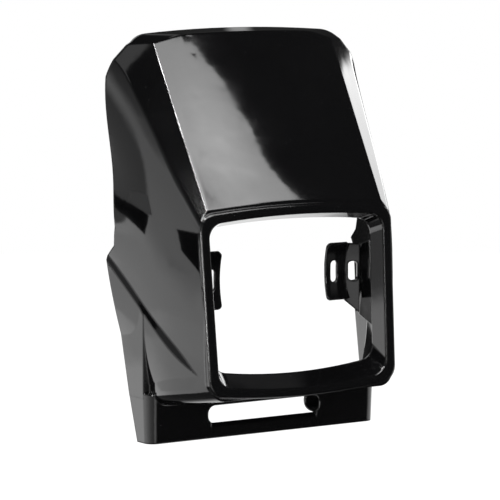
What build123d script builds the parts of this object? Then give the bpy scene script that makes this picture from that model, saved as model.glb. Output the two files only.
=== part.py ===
from build123d import *
from math import cos, radians, sin
import os

os.makedirs("parts", exist_ok=True)

# One moulded headlight cowl. Origin: midway between the two lamp bracket slots.
# +X right, -Y front, +Z up. All sizes in millimetres.

# Moulding
wall = 3.0
rib = 2.6
# How far a leaning face moves along X or Y for each millimetre of wall
lean_x = 0.6
lean_y = 1.25
lean_side = 1.1

# Crown panel: the two straight ridges and how far the panel bows forward of them
ridge_x_low = 84.9
ridge_y_low = -39.4
ridge_z_low = 61.4
ridge_x_top = 88.4
ridge_y_top = 49.5
ridge_z_top = 197.6
bow_low = 1.1
bow_top = 20.0
# Shoulder facet beside each ridge: angle away from the Y axis, in plan
facet_low = 55.0
facet_top = 50.0
facet_run = 70.0
crown_z_from = 45.0
crown_z_to = 235.0
hull_back = 160.0
hull_half = 200.0
hull_front = -100.0
hull_floor = -200.0

# Upper side wall: plan curve (front, middle, rear) at rising heights
side_foot_z = -110.0
side_foot = ((80.5, -74.0), (99.5, -16.0), (109.5, 84.0))
side_mid_z = 10.0
side_mid = ((85.5, -66.0), (106.0, -6.0), (125.2, 84.0))
side_steps = 3
side_brow_z = 47.5
side_brow = ((85.0, -62.0), (110.0, 6.0), (130.0, 84.0))
side_cheek_z = 85.0
side_cheek = ((84.0, -36.0), (106.2, -2.0), (123.2, 84.0))
side_jaw_z = 125.0
side_jaw = ((86.0, -4.0), (115.0, 32.0), (126.5, 84.0))
side_temple_z = 155.0
side_temple = ((90.0, 20.0), (119.0, 52.5), (131.5, 84.0))
side_crown_z = 185.0
side_crown = ((92.0, 42.5), (112.0, 60.0), (134.0, 84.0))
side_top_z = 215.0
side_top = ((90.0, 48.0), (104.0, 62.0), (124.0, 84.0))

# Lower side panel, standing out below the diagonal strake
panel_top_z = 20.0
panel_top = ((92.0, -60.0), (117.0, 28.0), (127.5, 76.0))
panel_high_z = -30.0
panel_high = ((91.5, -58.0), (112.5, 14.0), (125.0, 72.0))
panel_low_z = -60.0
panel_low = ((88.0, -58.0), (106.0, -8.0), (119.0, 66.0))
panel_foot_z = -100.0
panel_foot = ((79.5, -56.0), (98.5, -8.0), (111.0, 66.0))
# Strake bevel: inner and outer rear points and the front end
strake_in = (120.2, 65.5, 21.6)
strake_out = (125.3, 68.6, 17.0)
strake_front = (91.0, -44.0, -76.5)

# Roof outline: front and rear arches with their corner rounding
roof_front_y = 48.0
roof_front_z = 208.5
roof_front_corner = (108.0, 203.5)
roof_front_r = 75.0
roof_rear_y = 70.0
roof_rear_z = 210.2
roof_rear_corner = (118.0, 204.4)
roof_rear_r = 40.0
roof_side = (165.0, 20.0)

# Rear edge in side view
rear_top = (72.0, 214.0)
rear_dip = (65.0, 200.0)
rear_bulge = (69.0, 171.0)
rear_waist = (56.0, 44.0)
rear_notch = (58.8, 27.5)
rear_tip = (68.6, 18.5)
rear_foot = (33.0, -140.0)

# Lamp bezel: leaning plane, outer and inner outline, face width follows from them
bezel_y = -45.1
bezel_lean = 5.24
bezel_half_top = 94.6
bezel_half_low = 91.8
bezel_top = 66.0
bezel_top_drop = 4.8
bezel_low = -96.5
bezel_low_rise = 6.0
bezel_corner = 15.0
bezel_depth = 9.0
bezel_proud = 2.0
lens_half_top = 85.4
lens_half_low = 82.0
lens_top = 57.5
lens_top_drop = 4.6
lens_low = -89.0
lens_low_rise = 6.6
lens_corner = 14.0
# Return wall behind the lens opening, funnelling to a smaller rear outline
return_depth = 17.0
return_side = 3.0
return_top = 4.0
return_low = 12.0

# Underside between bezel and chin
under_front = (-52.0, -94.5)
under_back = (16.0, -106.5)
under_round = 12.0
under_round_in = 5.0

# Chin and pillars
chin_y = 13.5
chin_foot = -139.0
chin_top = -96.0
pillar_x = 111.7
pillar_flare = 0.148
pillar_front = 22.0
chin_draft = 1.5
pillar_round = 11.0
slot_half = 56.0
slot_top = -110.5
slot_low = -126.0
slot_corner = 6.5
bar_bevel = 6.0

# Lamp brackets: slotted plate curved about the lamp centre, slanted web and wall tab
bracket_in = 52.5
bracket_bend = 72.6
bracket_top = 24.0
bracket_low = -25.0
bracket_curve = 68.0
bracket_sweep = 21.0
bracket_slot_x = 60.9
bracket_slot_w = 6.6
bracket_slot_l = 19.0
web_out = 82.0
web_y = -12.2
web_low = -38.0
web_hole_l = 17.0
web_hole_w = 6.0
tab_front = -34.0
tab_top = 32.0
tab_low = -46.0

# Lower mounting ears behind the chin slot
ear_y = 30.0
ear_hole_x = 78.0
ear_hole_d = 6.5
ear_z = -118.0
ear_tip = 50.5
ear_half = 11.0
ear_root = 114.0

# Edge rounding
ridge_round = 1.6
brow_round = 1.5
bend_round = 9.0
bezel_round = 2.0
bezel_ease = bezel_round * (1 - cos(radians(45)))
lens_bevel = 0.8
plate_round = 4.0
crown_middle = (0, (ridge_y_low + ridge_y_top - bow_low - bow_top) / 2, (ridge_z_low + ridge_z_top) / 2)


def crown_section(z, inset):
    t = (z - ridge_z_low) / (ridge_z_top - ridge_z_low)
    x = ridge_x_low + t * (ridge_x_top - ridge_x_low) - lean_x * inset
    y = ridge_y_low + t * (ridge_y_top - ridge_y_low) + lean_y * inset
    bow = bow_low + t * (bow_top - bow_low)
    facet = radians(facet_low + t * (facet_top - facet_low))
    far_x = x + facet_run * sin(facet)
    far_y = y + facet_run * cos(facet)
    with BuildSketch(Plane.XY.offset(z)) as section:
        with BuildLine():
            ThreePointArc((-x, y), (0, y - bow), (x, y))
            right = ((x, y), (far_x, far_y), (far_x, hull_back))
            left = ((-far_x, hull_back), (-far_x, far_y), (-x, y))
            Polyline(*right, *left)
        make_face()
        fillet(section.vertices().group_by(Axis.Y)[0], ridge_round)
    return section.sketch


def side_section(z, plan, inset):
    step = lean_side * inset
    front, middle, rear = plan
    with BuildSketch(Plane.XY.offset(z)) as section:
        with BuildLine():
            Spline((front[0] - step, front[1]), (middle[0] - step, middle[1]), (rear[0] - step, rear[1]))
            Line((rear[0] - step, rear[1]), (step - rear[0], rear[1]))
            Spline((step - rear[0], rear[1]), (step - middle[0], middle[1]), (step - front[0], front[1]))
            Polyline(
                (step - front[0], front[1]),
                (step - front[0], hull_front),
                (front[0] - step, hull_front),
                (front[0] - step, front[1]),
            )
        make_face()
    return section.sketch


def between(low, high, share):
    """Plan curve part of the way from one plan to another."""
    return [(a[0] + share * (b[0] - a[0]), a[1] + share * (b[1] - a[1])) for a, b in zip(low, high)]


def roof_section(y, top, corner, radius, inset):
    x, z = corner
    side_x, side_z = roof_side
    with BuildSketch(Plane(origin=(0, y, -inset), x_dir=(1, 0, 0), z_dir=(0, -1, 0))) as section:
        with BuildLine():
            ThreePointArc((inset - x, z), (0, top), (x - inset, z))
            Polyline((x - inset, z), (side_x, side_z), (side_x, hull_floor))
            Line((side_x, hull_floor), (-side_x, hull_floor))
            Polyline((-side_x, hull_floor), (-side_x, side_z), (inset - x, z))
        make_face()
        corners = section.vertices().sort_by(Axis.Y)[-2:]
        fillet(corners, radius - inset)
    return section.sketch


def is_bend(edge):
    """True for the long bends where the shoulder facets meet the side walls."""
    middle = edge @ 0.5
    beside = ridge_x_top < abs(middle.X) and middle.Y < rear_waist[0]
    return beside and middle.Z > ridge_z_low and edge.length > facet_run


def hull(inset):
    """Outer limit of the upper body, pulled in by the wall for the hollow."""
    with BuildPart() as crown:
        loft([crown_section(crown_z_from, inset), crown_section(crown_z_to, inset)], ruled=True)
        with BuildSketch(Plane.XY.offset(crown_z_from)):
            with Locations((0, (hull_front + hull_back) / 2)):
                Rectangle(2 * hull_half, hull_back - hull_front)
        extrude(amount=hull_floor - crown_z_from)
    with BuildPart() as roof:
        front = (roof_front_z, roof_front_corner, roof_front_r, inset)
        rear = (roof_rear_z, roof_rear_corner, roof_rear_r, inset)
        loft(
            [
                roof_section(hull_front, *front),
                roof_section(roof_front_y, *front),
                roof_section(roof_rear_y, *rear),
                roof_section(hull_back, *rear),
            ],
            ruled=True,
        )
    with BuildPart() as body:
        sections = []
        for step in range(side_steps):
            share = step / side_steps
            z = side_foot_z + share * (side_mid_z - side_foot_z)
            sections.append(side_section(z, between(side_foot, side_mid, share), inset))
        sections.append(side_section(side_mid_z, side_mid, inset))
        sections.append(side_section(side_brow_z, side_brow, inset))
        sections.append(side_section(side_cheek_z, side_cheek, inset))
        sections.append(side_section(side_jaw_z, side_jaw, inset))
        sections.append(side_section(side_temple_z, side_temple, inset))
        sections.append(side_section(side_crown_z, side_crown, inset))
        sections.append(side_section(side_top_z, side_top, inset))
        loft(sections)
        add(crown.part, mode=Mode.INTERSECT)
        add(roof.part, mode=Mode.INTERSECT)
        bends = [edge for edge in body.edges() if is_bend(edge)]
        fillet(bends, bend_round)
        if inset == 0:
            panel = body.faces().sort_by_distance(crown_middle)[0]
            fillet(panel.edges().filter_by_position(Axis.Z, ridge_z_top, crown_z_to), brow_round)
    return body.part


def lower_panel(inset):
    """Lower side panels and pillar flanks, cut off above the strake bevel."""
    along = Vector(*strake_front) - Vector(*strake_in)
    across = Vector(*strake_out) - Vector(*strake_in)
    bevel = Plane(origin=Vector(*strake_in) - Vector(inset, 0, 0), x_dir=along, z_dir=along.cross(across))
    with BuildPart() as above:
        with BuildSketch(bevel):
            Rectangle(4 * hull_half, 4 * hull_half)
        extrude(amount=hull_half)
    with BuildPart() as panel:
        loft(
            [
                side_section(panel_foot_z, panel_foot, inset),
                side_section(panel_low_z, panel_low, inset),
                side_section(panel_high_z, panel_high, inset),
                side_section(panel_top_z, panel_top, inset),
            ]
        )
        with BuildSketch(Plane.XY.offset(panel_foot_z)):
            with BuildLine():
                Polyline(*pillar_plan(pillar_front, inset), close=True)
            make_face()
        extrude(amount=panel_top_z - panel_foot_z)
        add(above.part, mode=Mode.SUBTRACT)
        add(mirror(above.part, about=Plane.YZ), mode=Mode.SUBTRACT)
    return panel.part


def pillar_plan(front, inset):
    """Plan corners of the pillars from a front line back, flaring rearward."""
    y = front + inset
    near = pillar_x + pillar_flare * y - inset
    far = pillar_x + pillar_flare * hull_back - inset
    return (-near, y), (near, y), (far, hull_back), (-far, hull_back)


def chin_section(z, inset):
    """Plan of the chin and pillars at one height, with rounded front corners."""
    with BuildSketch(Plane.XY.offset(z)) as section:
        with BuildLine():
            Polyline(*pillar_plan(chin_y, 0), close=True)
        make_face()
        fillet(section.vertices().group_by(Axis.Y)[0], pillar_round)
        offset(amount=-inset)
    return section.sketch


def bezel_outline(depth, half_top, half_low, top, drop, low, rise, corner):
    """Rounded lamp outline on a plane set back from the leaning bezel face."""
    with BuildSketch(bezel_face.offset(-depth)) as outline:
        with BuildLine():
            ThreePointArc((-half_top, top - drop), (0, top), (half_top, top - drop))
            Line((half_top, top - drop), (half_low, low + rise))
            ThreePointArc((half_low, low + rise), (0, low), (-half_low, low + rise))
            Line((-half_low, low + rise), (-half_top, top - drop))
        make_face()
        fillet(outline.vertices(), corner)
    return outline.sketch


def is_rim(edge):
    """True for the two bottom edges of the lower side panels."""
    middle = edge @ 0.5
    return abs(middle.X) > lens_half_top and middle.Y < chin_y and edge.length > slot_half


def envelope(inset):
    """Everything the cowl fills before it is hollowed out."""
    with BuildPart() as body:
        add(hull(inset))
        add(lower_panel(inset))
        with BuildSketch(bezel_face.offset(-bezel_proud - inset)):
            Rectangle(2 * hull_half, 4 * hull_half)
        extrude(amount=hull_half, mode=Mode.SUBTRACT)
        fall = (under_back[1] - under_front[1]) / (under_back[0] - under_front[0])
        with BuildSketch(Plane.YZ):
            with BuildLine():
                start = under_front[1] + fall * (hull_front - under_front[0]) + inset
                end = under_front[1] + fall * (hull_back - under_front[0]) + inset
                Polyline(
                    (hull_front, start),
                    (hull_back, end),
                    (hull_back, hull_floor),
                    (hull_front, hull_floor),
                    close=True,
                )
            make_face()
        extrude(amount=hull_half, both=True, mode=Mode.SUBTRACT)
        with BuildPart(mode=Mode.PRIVATE) as chin:
            foot = chin_section(chin_foot - inset, inset + chin_draft)
            loft([foot, chin_section(chin_top - inset, inset)])
        add(chin.part)
        level = under_back[1] + inset
        rims = body.edges().filter_by_position(Axis.Z, level, level + wall + under_round)
        fillet([edge for edge in rims if is_rim(edge)], under_round_in if inset else under_round)
    return body.part


bezel_face = Plane(
    origin=(0, bezel_y, 0),
    x_dir=(1, 0, 0),
    z_dir=(0, -cos(radians(bezel_lean)), sin(radians(bezel_lean))),
)
outer_outline = (bezel_half_top, bezel_half_low, bezel_top, bezel_top_drop, bezel_low, bezel_low_rise)
lens_outline = (lens_half_top, lens_half_low, lens_top, lens_top_drop, lens_low, lens_low_rise)
rear_outline = (
    lens_half_top - return_side,
    lens_half_low - return_side,
    lens_top - return_top,
    lens_top_drop,
    lens_low + return_low,
    lens_low_rise,
)


def grown(outline, amount):
    half_top, half_low, top, drop, low, rise = outline
    return half_top + amount, half_low + amount, top + amount, drop, low - amount, rise


def bracket():
    """Right-hand lamp bracket: curved slotted plate, slanted web and tab to the return wall."""
    with BuildPart() as arm:
        with BuildSketch(Plane.YZ.offset(bracket_in)):
            with BuildLine():
                inner = CenterArc((-bracket_curve, 0), bracket_curve, -bracket_sweep, 2 * bracket_sweep)
                outer = CenterArc((-bracket_curve, 0), bracket_curve + rib, -bracket_sweep, 2 * bracket_sweep)
                Line(inner @ 0, outer @ 0)
                Line(inner @ 1, outer @ 1)
            make_face()
        extrude(amount=bracket_bend - bracket_in)
        fillet(arm.edges().group_by(Axis.X)[0].filter_by(GeomType.LINE), plate_round)
        run = web_out - bracket_bend
        length = (run**2 + web_y**2) ** 0.5
        with BuildSketch(Plane(origin=(bracket_bend, 0, 0), x_dir=(run, web_y, 0), z_dir=(web_y, -run, 0))):
            with BuildLine():
                Polyline(
                    (-rib, bracket_low),
                    (length, web_low),
                    (length, bracket_top),
                    (-rib, bracket_top),
                    close=True,
                )
            make_face()
        extrude(amount=-rib)
        with BuildSketch(Plane.YZ.offset(web_out - rib / 2)):
            with BuildLine():
                Polyline(
                    (web_y + rib, bracket_top),
                    (tab_front, tab_top),
                    (tab_front, tab_low),
                    (web_y + rib, web_low),
                    close=True,
                )
            make_face()
        extrude(amount=rib)
        with BuildSketch(Plane.XZ):
            with Locations((bracket_slot_x, 0)):
                SlotOverall(bracket_slot_l, bracket_slot_w, rotation=90)
            with Locations(((bracket_bend + web_out) / 2, 0)):
                SlotOverall(web_hole_l, web_hole_w, rotation=90)
        extrude(amount=bracket_curve / 2, both=True, mode=Mode.SUBTRACT)
    return arm.part


def ear():
    """Right-hand lower mounting ear, a round-ended strip with a bolt hole."""
    with BuildPart() as strip:
        with BuildSketch(Plane.XZ.offset(-ear_y)):
            with Locations(((ear_tip + ear_half + ear_root) / 2, ear_z)):
                Rectangle(ear_root - ear_tip - ear_half, 2 * ear_half)
            with Locations((ear_tip + ear_half, ear_z)):
                Circle(ear_half)
            with Locations((ear_hole_x, ear_z)):
                Circle(ear_hole_d / 2, mode=Mode.SUBTRACT)
        extrude(amount=-wall)
    return strip.part


with BuildPart() as cowl:
    add(envelope(0))
    # Rear edge, cut in side view
    with BuildSketch(Plane.YZ):
        with BuildLine():
            Polyline(
                (hull_back, rear_top[1]),
                rear_top,
                rear_dip,
                rear_bulge,
                rear_waist,
                rear_notch,
                rear_tip,
                rear_foot,
                (hull_back, rear_foot[1]),
                close=True,
            )
        make_face()
    extrude(amount=hull_half, both=True, mode=Mode.SUBTRACT)
    add(envelope(wall), mode=Mode.SUBTRACT)
    # Bezel ring, then the return wall funnelling back from it
    with BuildPart(mode=Mode.PRIVATE) as ring:
        loft(
            [
                bezel_outline(0, *grown(outer_outline, -bezel_round), bezel_corner - bezel_round),
                bezel_outline(bezel_ease, *grown(outer_outline, -bezel_ease), bezel_corner - bezel_ease),
                bezel_outline(bezel_round, *outer_outline, bezel_corner),
                bezel_outline(bezel_depth, *outer_outline, bezel_corner),
            ],
            ruled=True,
        )
    add(ring.part)
    with BuildPart(mode=Mode.PRIVATE) as funnel:
        loft(
            [
                bezel_outline(0, *grown(lens_outline, rib), lens_corner + rib),
                bezel_outline(return_depth, *grown(rear_outline, rib), lens_corner + rib),
            ],
            ruled=True,
        )
    add(funnel.part)
    add(bracket())
    add(mirror(bracket(), about=Plane.YZ))
    add(ear())
    add(mirror(ear(), about=Plane.YZ))
    with BuildPart(mode=Mode.PRIVATE) as bore:
        loft(
            [
                bezel_outline(0, *grown(lens_outline, lens_bevel), lens_corner + lens_bevel),
                bezel_outline(lens_bevel, *lens_outline, lens_corner),
                bezel_outline(return_depth, *rear_outline, lens_corner),
            ],
            ruled=True,
        )
    add(bore.part, mode=Mode.SUBTRACT)
    # Chin slot with a bevel along the top of the bar below it
    with BuildSketch(Plane.XZ.offset(-chin_y)):
        with Locations((0, (slot_top + slot_low) / 2)):
            RectangleRounded(2 * slot_half, slot_top - slot_low, slot_corner)
    extrude(amount=2 * wall, both=True, mode=Mode.SUBTRACT)
    with BuildSketch(Plane.YZ):
        with BuildLine():
            Polyline(
                (chin_y, slot_low - bar_bevel),
                (chin_y, slot_low + wall),
                (chin_y + wall, slot_low),
                close=True,
            )
        make_face()
    extrude(amount=slot_half - slot_corner / 2, both=True, mode=Mode.SUBTRACT)

cowl.part.label = "headlight_cowl"
export_step(cowl.part, "parts/headlight_cowl.step")
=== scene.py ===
"""Looks of the moulded headlight cowl: gloss black shell, studio stage and camera."""

import math
from typing import NamedTuple

import bpy
from mathutils import Matrix, Quaternion, Vector

bl_info = {
    "name": "Headlight Cowl",
    "version": (1, 0, 0),
    "blender": (4, 5, 0),
    "location": "View3D > Sidebar > Cowl",
    "description": "Dresses a moulded motorbike headlight cowl and sets up its studio stage",
    "category": "Object",
}

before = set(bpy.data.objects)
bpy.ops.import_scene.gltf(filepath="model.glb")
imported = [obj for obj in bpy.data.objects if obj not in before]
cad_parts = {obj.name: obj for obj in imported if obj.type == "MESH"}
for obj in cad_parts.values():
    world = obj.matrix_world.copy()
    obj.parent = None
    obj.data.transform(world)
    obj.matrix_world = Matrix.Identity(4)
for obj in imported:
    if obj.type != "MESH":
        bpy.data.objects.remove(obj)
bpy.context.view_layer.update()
SHELL_NODE = "headlight_cowl"

# Gloss black plastic: haze in cells per metre, the noise range that dulls the gloss, and the waves
PLASTIC_IOR = 1.5
HAZE_SCALE = 14.0
HAZE_DETAIL = 5.0
HAZE_ROUGHNESS = 0.62
HAZE_RANGE = (0.35, 0.70)
WAVE_DETAIL = 2.0
WAVE_ROUGHNESS = 0.45
EASE_SAMPLES = 8

# Floor, and the pool of light that the gloss shows on it: azimuth in degrees and level, front at 0
FLOOR_RADIUS = 3.7
FLOOR_SIDES = 96
POOL = (
    (-180, 1.6), (-168, 1.6), (-157, 0.03), (-150, 0.03), (-143, 3.1), (-130, 2.9), (-120, 2.3),
    (-104, 2.3), (-80, 1.6), (-54, 0.8), (-28, 0.5), (-14, 1.8), (-6, 1.2), (4, 0.03), (48, 0.03),
    (62, 1.6), (180, 1.6),
)
POOL_TOP = 4.0
POOL_NEAR_SHARE = 0.06
POOL_FADE = 1.22

# Softbox close above the front, set across the camera's view and looking down
SOFTBOX_CENTRE = Vector((0.010, -0.467, 0.5))
SOFTBOX_SIZE = (0.70, 0.411)
SOFTBOX_TURN = math.radians(-31.1)
SOFTBOX_LONG = Vector((math.cos(SOFTBOX_TURN), math.sin(SOFTBOX_TURN), 0.0))
SOFTBOX_SHORT = Vector((-math.sin(SOFTBOX_TURN), math.cos(SOFTBOX_TURN), 0.0))

UP = Vector((0.0, 0.0, 1.0))
BACK = Vector((0.0, 1.0, 0.0))
FAR = 2.0
SENSOR_WIDTH = 36.0


def direction(azimuth, elevation):
    """Unit vector towards an azimuth and elevation in degrees, azimuth 0 at the front."""
    turn = math.radians(azimuth)
    rise = math.radians(elevation)
    return Vector((math.sin(turn) * math.cos(rise), -math.cos(turn) * math.cos(rise), math.sin(rise)))


# Paler left wall of the room, and how close to it a reflection starts and ends to brighten
LEFT_WALL = direction(-108.0, 0.0)
LEFT_WALL_RANGE = (0.45, 0.90)


class Card(NamedTuple):
    """A lit card of the stage.

    glow names the stage setting with its brightness, and fade is the share of its half size that
    fades at the edges. It looks along look and is turned by lean degrees about it. A card that
    hides covers what lies behind it, and any other adds its light to that.
    """

    name: str
    glow: str
    fade: float
    centre: Vector
    half_size: tuple
    look: Vector
    up: Vector = UP
    lean: float = 0.0
    hides: bool = False


class Flag(NamedTuple):
    """A cloth flag beside the left of the cowl.

    cloth names the stage setting with its grey. The corners are given across and up from the centre.
    """

    name: str
    cloth: str
    centre: Vector
    look: Vector
    corners: tuple


def far_card(name, glow, fade, azimuth, elevation, half_size):
    """A card far out at an azimuth and elevation in degrees, which looks at the cowl."""
    outward = direction(azimuth, elevation)
    return Card(name, glow, fade, outward * FAR, half_size, -outward)


CARDS = (
    # The brighter back half of the softbox, and the strip beside its left end for the left ridge
    Card(
        "crown_card", "crown_card", 1.0,
        centre=SOFTBOX_CENTRE + SOFTBOX_LONG * 0.011 + SOFTBOX_SHORT * 0.120 - UP * 0.001,
        half_size=(0.36, 0.085), look=-UP, up=SOFTBOX_SHORT,
    ),
    Card(
        "ridge_strip", "ridge_strip", 0.2,
        centre=SOFTBOX_CENTRE - SOFTBOX_LONG * 0.368 + SOFTBOX_SHORT * 0.020,
        half_size=(0.013, 0.225), look=-UP, up=SOFTBOX_SHORT,
    ),
    # Left side, right rear and front left
    far_card("side_card", "side_card", 0.85, -92.0, 14.0, (0.62, 0.55)),
    Card(
        "rear_card", "rear_card", 0.12,
        centre=Vector((0.56, 0.235, 0.19)), half_size=(0.18, 0.105), look=-direction(112.0, 0.0),
    ),
    far_card("front_strip", "front_strip", 0.5, -38.0, 2.0, (0.12, 0.25)),
    # Fill for the right, the back, the front and the inside
    far_card("right_fill", "fill_card", 0.8, 76.0, 4.0, (0.55, 0.75)),
    far_card("back_fill", "fill_card", 0.8, -172.0, 38.0, (1.1, 0.62)),
    far_card("front_fill", "fill_card", 0.8, -10.0, 8.0, (0.40, 0.70)),
    Card(
        "inner_fill", "fill_card", 0.8,
        centre=Vector((0.05, 0.25, -0.44)), half_size=(0.28, 0.4), look=UP, up=BACK,
    ),
    # Even light for the lower left panel and for the side wall under the left shoulder
    Card(
        "low_card", "low_card", 0.35, hides=True,
        centre=Vector((-0.761, 0.436, -0.150)), half_size=(0.26, 0.060), look=-direction(-123.0, 0.0),
    ),
    Card(
        "band_card", "band_card", 0.35, hides=True,
        centre=Vector((-0.487, 0.104, 0.091)), half_size=(0.062, 0.194),
        look=-direction(-108.85, -1.09), lean=26.1,
    ),
    # Small cards for the left roof corner, the roof edge and the lower lip
    Card(
        "corner_card", "corner_card", 0.3,
        centre=Vector((-0.255, -0.026, 0.371)), half_size=(0.035, 0.011),
        look=-direction(-59.0, 48.7), lean=-63.5,
    ),
    Card(
        "roof_card", "roof_card", 0.8,
        centre=Vector((0.141, 0.302, 0.255)), half_size=(0.017, 0.045), look=-direction(150.0, 10.0),
    ),
    Card(
        "lip_card", "lip_card", 0.5,
        centre=Vector((0.08, -0.16, -0.43)), half_size=(0.14, 0.12), look=UP, up=BACK,
    ),
)

FLAGS = (
    Flag(
        "long_flag", "black_cloth", Vector((-0.200, 0.0885, 0.0444)), -direction(-124.0, -7.8),
        ((0.040, 0.027), (-0.024, -0.006), (-0.016, -0.022), (0.034, 0.019)),
    ),
    Flag(
        "grey_flag", "grey_cloth", Vector((-0.205, 0.0917, 0.0436)), -direction(-124.0, -7.8),
        ((0.010, 0.020), (-0.029, 0.016), (-0.029, -0.006), (0.010, 0.000)),
    ),
    Flag(
        "short_flag", "black_cloth", Vector((-0.190, 0.0084, 0.0252)), -direction(-112.8, -5.2),
        ((0.011, 0.014), (-0.020, 0.021), (-0.009, -0.027), (0.011, -0.003)),
    ),
)


class ShellFinish(bpy.types.PropertyGroup):
    """Finish of the moulded shell."""

    colour: bpy.props.FloatVectorProperty(
        name="Colour", description="Colour of the moulded plastic", subtype="COLOR",
        size=3, min=0.0, max=1.0, default=(0.0016, 0.0016, 0.0018),
    )
    haze_colour: bpy.props.FloatVectorProperty(
        name="Haze colour", description="Colour where the gloss is a little hazed", subtype="COLOR",
        size=3, min=0.0, max=1.0, default=(0.0028, 0.0028, 0.0030),
    )
    gloss_low: bpy.props.FloatProperty(
        name="Roughness, clean", description="Roughness of the clean gloss",
        min=0.0, max=1.0, default=0.045,
    )
    gloss_high: bpy.props.FloatProperty(
        name="Roughness, hazed", description="Roughness of the hazed gloss",
        min=0.0, max=1.0, default=0.09,
    )
    dust_colour: bpy.props.FloatVectorProperty(
        name="Dust colour", description="Colour of the dust specks", subtype="COLOR",
        size=3, min=0.0, max=1.0, default=(0.03, 0.03, 0.03),
    )
    speck_spacing: bpy.props.FloatProperty(
        name="Speck spacing", description="Distance between dust specks",
        subtype="DISTANCE", min=0.001, max=0.1, default=0.006,
    )
    speck_radius: bpy.props.FloatProperty(
        name="Speck radius", description="Radius of the largest dust specks",
        subtype="DISTANCE", min=0.0, max=0.005, default=0.0004,
    )
    wave_length: bpy.props.FloatProperty(
        name="Wave length", description="Length of the slow waves in the moulded skin",
        subtype="DISTANCE", min=0.002, max=0.2, default=0.026,
    )
    wave_height: bpy.props.FloatProperty(
        name="Wave height", description="Height of the slow waves in the moulded skin",
        subtype="DISTANCE", min=0.0, max=0.002, default=0.00008,
    )
    edge_ease: bpy.props.FloatProperty(
        name="Edge ease", description="Rounding of the moulded edges in the gloss",
        subtype="DISTANCE", min=0.0, max=0.01, default=0.002,
    )


class StageSettings(bpy.types.PropertyGroup):
    """Camera, lamps and surroundings."""

    camera_azimuth: bpy.props.FloatProperty(
        name="Camera azimuth", description="Turn of the camera round the cowl", subtype="ANGLE",
        default=math.radians(-30.0),
    )
    camera_height: bpy.props.FloatProperty(
        name="Camera elevation", description="Height angle of the camera", subtype="ANGLE",
        default=math.radians(7.21),
    )
    camera_distance: bpy.props.FloatProperty(
        name="Camera distance", description="Distance from the camera to its target",
        subtype="DISTANCE", min=0.1, default=2.398,
    )
    camera_lens: bpy.props.FloatProperty(
        name="Lens", description="Focal length in millimetres", min=1.0, default=198.6,
    )
    camera_target: bpy.props.FloatVectorProperty(
        name="Camera target", description="Point the camera looks at", subtype="TRANSLATION",
        size=3, default=(0.0, 0.040, 0.018),
    )
    floor_colour: bpy.props.FloatVectorProperty(
        name="Floor colour", description="Colour of the pale floor", subtype="COLOR",
        size=3, min=0.0, max=1.0, default=(0.93, 0.93, 0.93),
    )
    floor_height: bpy.props.FloatProperty(
        name="Floor height", description="Height of the floor against the cowl's origin",
        subtype="DISTANCE", default=-0.45,
    )
    floor_lift: bpy.props.FloatProperty(
        name="Floor lift", description="White that the floor adds for the camera",
        min=0.0, default=0.15,
    )
    pool_near: bpy.props.FloatProperty(
        name="Pool start", description="Distance at which the pool of light on the floor starts",
        subtype="DISTANCE", min=0.0, default=0.78,
    )
    softbox: bpy.props.FloatProperty(
        name="Softbox", description="Brightness of the softbox above the front",
        min=0.0, default=6.1,
    )
    crown_card: bpy.props.FloatProperty(
        name="Crown card", description="Brightness that the back half of the softbox adds",
        min=0.0, default=8.0,
    )
    ridge_strip: bpy.props.FloatProperty(
        name="Ridge strip", description="Brightness of the strip that lights the left ridge",
        min=0.0, default=110.0,
    )
    side_card: bpy.props.FloatProperty(
        name="Side card", description="Brightness of the soft card on the left",
        min=0.0, default=1.2,
    )
    rear_card: bpy.props.FloatProperty(
        name="Rear card", description="Brightness of the card behind on the right",
        min=0.0, default=4.6,
    )
    front_strip: bpy.props.FloatProperty(
        name="Front strip", description="Brightness of the thin strip in front",
        min=0.0, default=40.0,
    )
    fill_card: bpy.props.FloatProperty(
        name="Fill cards", description="Brightness of the fill on the right, behind, in front and inside",
        min=0.0, default=1.6,
    )
    low_card: bpy.props.FloatProperty(
        name="Low card", description="Brightness of the card beside the lower left panel",
        min=0.0, default=2.2,
    )
    band_card: bpy.props.FloatProperty(
        name="Band card", description="Brightness of the card for the wall under the left shoulder",
        min=0.0, default=1.55,
    )
    corner_card: bpy.props.FloatProperty(
        name="Corner card", description="Brightness of the card over the left roof corner",
        min=0.0, default=0.9,
    )
    roof_card: bpy.props.FloatProperty(
        name="Roof card", description="Brightness of the small card that lights the roof edge",
        min=0.0, default=0.45,
    )
    lip_card: bpy.props.FloatProperty(
        name="Lip card", description="Brightness of the card under the lower lip",
        min=0.0, default=1.6,
    )
    black_cloth: bpy.props.FloatProperty(
        name="Black cloth", description="Grey of the two black flags",
        min=0.0, max=1.0, default=0.0,
    )
    grey_cloth: bpy.props.FloatProperty(
        name="Grey cloth", description="Grey of the flag behind the long one",
        min=0.0, max=1.0, default=0.5,
    )
    room: bpy.props.FloatProperty(
        name="Room", description="Brightness of the dark room in reflections",
        min=0.0, default=0.03,
    )
    room_glow: bpy.props.FloatProperty(
        name="Room glow", description="Brightness the left wall adds to the room",
        min=0.0, default=0.5,
    )


def add_node(tree, kind, inputs, **settings):
    """Adds a node with its settings, then links or sets its inputs, given by name or number."""
    node = tree.nodes.new(kind)
    for name, value in settings.items():
        setattr(node, name, value)
    for key, value in inputs.items():
        if isinstance(value, bpy.types.NodeSocket):
            tree.links.new(value, node.inputs[key])
        else:
            node.inputs[key].default_value = value
    return node


def math_value(tree, operation, *values):
    """The result of a math node on values or sockets."""
    return add_node(tree, "ShaderNodeMath", dict(enumerate(values)), operation=operation).outputs["Value"]


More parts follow.
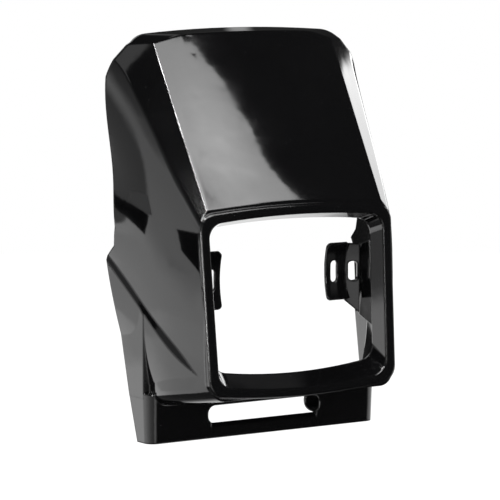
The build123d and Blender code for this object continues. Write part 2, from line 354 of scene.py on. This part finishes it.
def ranged(tree, value, source, target=(0.0, 1.0), blend="LINEAR"):
    """A value mapped from one range to another."""
    inputs = {
        "Value": value, "From Min": source[0], "From Max": source[1],
        "To Min": target[0], "To Max": target[1],
    }
    return add_node(tree, "ShaderNodeMapRange", inputs, interpolation_type=blend).outputs["Result"]


def object_place(tree):
    """The place on the object, in its own coordinates."""
    return add_node(tree, "ShaderNodeTexCoord", {}).outputs["Object"]


def emission(tree, strength, colour=(1.0, 1.0, 1.0, 1.0)):
    """A shader that shines."""
    inputs = {"Strength": strength, "Color": colour}
    return add_node(tree, "ShaderNodeEmission", inputs).outputs["Emission"]


def fresh_material(name):
    """A material with an empty node tree."""
    material = bpy.data.materials.new(name)
    material.use_nodes = True
    material.node_tree.nodes.clear()
    return material, material.node_tree


def finish_material(tree, shader):
    """Joins the shader to the output of the material."""
    add_node(tree, "ShaderNodeOutputMaterial", {"Surface": shader})


def hazed_colour(tree, finish, haze):
    """The plastic's colour, paler where the gloss is hazed."""
    inputs = {"Factor": haze, "A": (*finish.colour, 1.0), "B": (*finish.haze_colour, 1.0)}
    return add_node(tree, "ShaderNodeMix", inputs, data_type="RGBA").outputs["Result"]


def dusted_colour(tree, finish, place, colour):
    """The colour with dust: specks of mixed size, one at most in each cell."""
    cells = add_node(tree, "ShaderNodeTexVoronoi", {"Vector": place, "Scale": 1.0 / finish.speck_spacing})
    chance = add_node(tree, "ShaderNodeSeparateColor", {"Color": cells.outputs["Color"]})
    largest = finish.speck_radius / finish.speck_spacing
    radius = math_value(tree, "MULTIPLY", chance.outputs["Red"], largest)
    speck = math_value(tree, "LESS_THAN", cells.outputs["Distance"], radius)
    inputs = {"Factor": speck, "A": colour, "B": (*finish.dust_colour, 1.0)}
    return add_node(tree, "ShaderNodeMix", inputs, data_type="RGBA").outputs["Result"]


def waved_normal(tree, finish, place):
    """The normal with slow moulding waves and eased edges."""
    wave = add_node(tree, "ShaderNodeTexNoise", {
        "Vector": place, "Scale": 1.0 / finish.wave_length,
        "Detail": WAVE_DETAIL, "Roughness": WAVE_ROUGHNESS,
    })
    ease = add_node(tree, "ShaderNodeBevel", {"Radius": finish.edge_ease}, samples=EASE_SAMPLES)
    bump = add_node(tree, "ShaderNodeBump", {
        "Strength": 1.0, "Distance": finish.wave_height,
        "Height": wave.outputs["Fac"], "Normal": ease.outputs["Normal"],
    })
    return bump.outputs["Normal"]


def gloss_plastic(finish):
    """Gloss black plastic with slow moulding waves, faint haze and dust specks."""
    material, tree = fresh_material("gloss_black_plastic")
    place = object_place(tree)
    haze = add_node(tree, "ShaderNodeTexNoise", {
        "Vector": place, "Scale": HAZE_SCALE, "Detail": HAZE_DETAIL, "Roughness": HAZE_ROUGHNESS,
    }).outputs["Fac"]
    colour = hazed_colour(tree, finish, haze)
    shader = add_node(tree, "ShaderNodeBsdfPrincipled", {
        "IOR": PLASTIC_IOR,
        "Base Color": dusted_colour(tree, finish, place, colour),
        "Roughness": ranged(tree, haze, HAZE_RANGE, (finish.gloss_low, finish.gloss_high)),
        "Normal": waved_normal(tree, finish, place),
    })
    finish_material(tree, shader.outputs["BSDF"])
    return material


def fill_ramp(ramp, stops):
    """Sets a colour ramp to grey stops, given as place and level."""
    while len(ramp.elements) < len(stops):
        ramp.elements.new(1.0)
    for element, (place, level) in zip(ramp.elements, stops):
        element.position = place
        element.color = (level, level, level, 1.0)


def pool_light(tree, stage):
    """The pool of light on the floor: a level for each azimuth, dim close to the cowl."""
    place = object_place(tree)
    split = add_node(tree, "ShaderNodeSeparateXYZ", {"Vector": place}).outputs
    front = math_value(tree, "MULTIPLY", split["Y"], -1.0)
    azimuth = math_value(tree, "ARCTAN2", split["X"], front)
    share = ranged(tree, azimuth, (-math.pi, math.pi))
    pool = add_node(tree, "ShaderNodeValToRGB", {"Fac": share})
    fill_ramp(pool.color_ramp, [((turn + 180.0) / 360.0, level / POOL_TOP) for turn, level in POOL])
    reach = add_node(tree, "ShaderNodeVectorMath", {0: place}, operation="LENGTH").outputs["Value"]
    strength = ranged(
        tree, reach, (stage.pool_near, stage.pool_near * POOL_FADE),
        (POOL_TOP * POOL_NEAR_SHARE, POOL_TOP), "SMOOTHSTEP",
    )
    return emission(tree, strength, pool.outputs["Color"])


def floor_paint(stage):
    """Pale paint, which in the gloss shows the pool of light instead."""
    material, tree = fresh_material("pale_floor")
    path = add_node(tree, "ShaderNodeLightPath", {}).outputs
    paint = add_node(tree, "ShaderNodeBsdfDiffuse", {"Color": (*stage.floor_colour, 1.0)}).outputs["BSDF"]
    white = emission(tree, math_value(tree, "MULTIPLY", path["Is Camera Ray"], stage.floor_lift))
    seen = add_node(tree, "ShaderNodeAddShader", {0: paint, 1: white}).outputs["Shader"]
    either = add_node(tree, "ShaderNodeMixShader", {
        "Fac": path["Is Glossy Ray"], 1: seen, 2: pool_light(tree, stage),
    })
    finish_material(tree, either.outputs["Shader"])
    return material


def edge_fade(tree, fade):
    """A value of 1 that fades to 0 at the edges of a card, over its own -1 to 1 square."""
    split = add_node(tree, "ShaderNodeSeparateXYZ", {"Vector": object_place(tree)}).outputs
    fades = []
    for axis in "XY":
        size = math_value(tree, "ABSOLUTE", split[axis])
        fades.append(ranged(tree, size, (1.0, 1.0 - fade), blend="SMOOTHSTEP"))
    return math_value(tree, "MULTIPLY", *fades)


def card_glow(name, strength, fade, hides):
    """The glow of a card, which hides what lies behind it or adds to it, and fades at its edges."""
    material, tree = fresh_material(name)
    level = edge_fade(tree, fade)
    clear = add_node(tree, "ShaderNodeBsdfTransparent", {}).outputs["BSDF"]
    if hides:
        inputs = {"Fac": level, 1: clear, 2: emission(tree, strength)}
        blend = add_node(tree, "ShaderNodeMixShader", inputs)
    else:
        glow = emission(tree, math_value(tree, "MULTIPLY", level, strength))
        blend = add_node(tree, "ShaderNodeAddShader", {0: glow, 1: clear})
    finish_material(tree, blend.outputs["Shader"])
    return material


def plain_cloth(name, grey):
    """Plain matt cloth."""
    material, tree = fresh_material(name)
    weave = add_node(tree, "ShaderNodeBsdfDiffuse", {"Color": (grey, grey, grey, 1.0)})
    finish_material(tree, weave.outputs["BSDF"])
    return material


def studio_world(stage):
    """White to the camera, plain light for paint, and a dim room with a paler left wall in the gloss."""
    world = bpy.data.worlds.new("studio")
    bpy.context.scene.world = world
    world.use_nodes = True
    tree = world.node_tree
    tree.nodes.clear()
    towards = add_node(tree, "ShaderNodeTexCoord", {}).outputs["Generated"]
    left = add_node(tree, "ShaderNodeVectorMath", {0: towards, 1: LEFT_WALL}, operation="DOT_PRODUCT")
    glow = ranged(
        tree, left.outputs["Value"], LEFT_WALL_RANGE,
        (stage.room, stage.room + stage.room_glow), "SMOOTHSTEP",
    )
    path = add_node(tree, "ShaderNodeLightPath", {}).outputs
    level = add_node(tree, "ShaderNodeMix", {"Factor": path["Is Glossy Ray"], "A": 1.0, "B": glow})
    surroundings = add_node(tree, "ShaderNodeBackground", {
        "Color": (1.0, 1.0, 1.0, 1.0), "Strength": level.outputs["Result"],
    })
    add_node(tree, "ShaderNodeOutputWorld", {"Surface": surroundings.outputs["Background"]})


def deselect():
    """Leaves edit mode and selects nothing."""
    if bpy.context.object and bpy.context.object.mode != "OBJECT":
        bpy.ops.object.mode_set(mode="OBJECT")
    bpy.ops.object.select_all(action="DESELECT")


def pale_floor(stage):
    """The round floor under the cowl."""
    deselect()
    bpy.ops.mesh.primitive_circle_add(vertices=FLOOR_SIDES, radius=FLOOR_RADIUS, fill_type="NGON")
    floor = bpy.context.object
    floor.name = "floor"
    floor.location = (0.0, 0.0, stage.floor_height)
    floor.data.materials.append(floor_paint(stage))


def ceiling_softbox(brightness):
    """The flat lamp that lights the cowl and shows in the crown."""
    data = bpy.data.lights.new("softbox", "AREA")
    data.shape = "RECTANGLE"
    data.size, data.size_y = SOFTBOX_SIZE
    data.energy = brightness * math.pi * data.size * data.size_y
    lamp = bpy.data.objects.new("softbox", data)
    lamp.location = SOFTBOX_CENTRE
    lamp.rotation_euler = (0.0, 0.0, SOFTBOX_TURN)
    lamp.visible_camera = False
    bpy.context.scene.collection.objects.link(lamp)


def flat_sheet(name, centre, look, up, lean, material):
    """A flat sheet from -1 to 1 that looks along a direction, turned by lean degrees about it."""
    deselect()
    bpy.ops.mesh.primitive_plane_add(size=2.0)
    thing = bpy.context.object
    thing.name = name
    side = up.cross(look).normalized()
    upright = look.cross(side).normalized()
    axes = Matrix((side, upright, look)).transposed()
    thing.rotation_mode = "QUATERNION"
    thing.rotation_quaternion = Quaternion(look, math.radians(lean)) @ axes.to_quaternion()
    thing.location = centre
    thing.data.materials.append(material)
    return thing


def only_in_reflections(thing):
    """Shows a sheet in the gloss, but neither to the camera nor as light or shade."""
    thing.visible_camera = False
    thing.visible_diffuse = False
    thing.visible_shadow = False


def stand_cards(stage):
    """Sets up the lit cards. Cards with the same setting share their glow."""
    glows = {}
    for item in CARDS:
        if item.glow not in glows:
            glows[item.glow] = card_glow(item.glow, getattr(stage, item.glow), item.fade, item.hides)
        thing = flat_sheet(item.name, item.centre, item.look, item.up, item.lean, glows[item.glow])
        thing.scale = (*item.half_size, 1.0)
        only_in_reflections(thing)


def stand_flags(stage):
    """Sets up the flags, which the left of the cowl shows as darker patches."""
    cloths = {}
    for item in FLAGS:
        if item.cloth not in cloths:
            cloths[item.cloth] = plain_cloth(item.cloth, getattr(stage, item.cloth))
        thing = flat_sheet(item.name, item.centre, item.look, UP, 0.0, cloths[item.cloth])
        for index, (across, up) in zip(thing.data.polygons[0].vertices, item.corners):
            thing.data.vertices[index].co = (across, up, 0.0)
        only_in_reflections(thing)


def stand_camera(scene, stage):
    """Sets up the camera, which looks at its target."""
    data = bpy.data.cameras.new("camera")
    data.lens = stage.camera_lens
    data.sensor_width = SENSOR_WIDTH
    camera = bpy.data.objects.new("camera", data)
    scene.collection.objects.link(camera)
    outward = direction(math.degrees(stage.camera_azimuth), math.degrees(stage.camera_height))
    camera.location = Vector(stage.camera_target) + outward * stage.camera_distance
    camera.rotation_mode = "QUATERNION"
    camera.rotation_quaternion = (-outward).to_track_quat("-Z", "Y")
    scene.camera = camera


class COWL_OT_shell(bpy.types.Operator):
    """Dress the moulded shell in gloss black plastic"""

    bl_idname = "cowl.shell"
    bl_label = "Shell"

    def execute(self, context):
        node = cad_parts[SHELL_NODE]
        if not node.material_slots:
            raise RuntimeError("The shell has no material slot to dress")
        material = gloss_plastic(context.scene.cowl_finish)
        for slot in node.material_slots:
            slot.material = material
        return {"FINISHED"}


class COWL_OT_stage(bpy.types.Operator):
    """Set up the room, the floor, the softbox, the cards, the flags and the camera"""

    bl_idname = "cowl.stage"
    bl_label = "Stage"

    def execute(self, context):
        scene = context.scene
        stage = scene.cowl_stage
        scene.view_settings.view_transform = "Standard"
        studio_world(stage)
        pale_floor(stage)
        ceiling_softbox(stage.softbox)
        stand_cards(stage)
        stand_flags(stage)
        stand_camera(scene, stage)
        return {"FINISHED"}


class COWL_PT_panel(bpy.types.Panel):
    """Headlight cowl"""

    bl_idname = "COWL_PT_panel"
    bl_label = "Headlight Cowl"
    bl_space_type = "VIEW_3D"
    bl_region_type = "UI"
    bl_category = "Cowl"

    def draw(self, context):
        for group in (context.scene.cowl_finish, context.scene.cowl_stage):
            for name in group.bl_rna.properties.keys():
                if name not in {"rna_type", "name"}:
                    self.layout.prop(group, name)
        for operator in OPERATORS:
            self.layout.operator(operator.bl_idname)


OPERATORS = (COWL_OT_shell, COWL_OT_stage)
CLASSES = (ShellFinish, StageSettings, *OPERATORS, COWL_PT_panel)


def register():
    for cls in CLASSES:
        bpy.utils.register_class(cls)
    bpy.types.Scene.cowl_finish = bpy.props.PointerProperty(type=ShellFinish)
    bpy.types.Scene.cowl_stage = bpy.props.PointerProperty(type=StageSettings)


def unregister():
    del bpy.types.Scene.cowl_stage
    del bpy.types.Scene.cowl_finish
    for cls in reversed(CLASSES):
        bpy.utils.unregister_class(cls)


def main():
    register()
    bpy.ops.cowl.shell()
    bpy.ops.cowl.stage()
    bpy.context.view_layer.update()


if __name__ == "__main__":
    main()
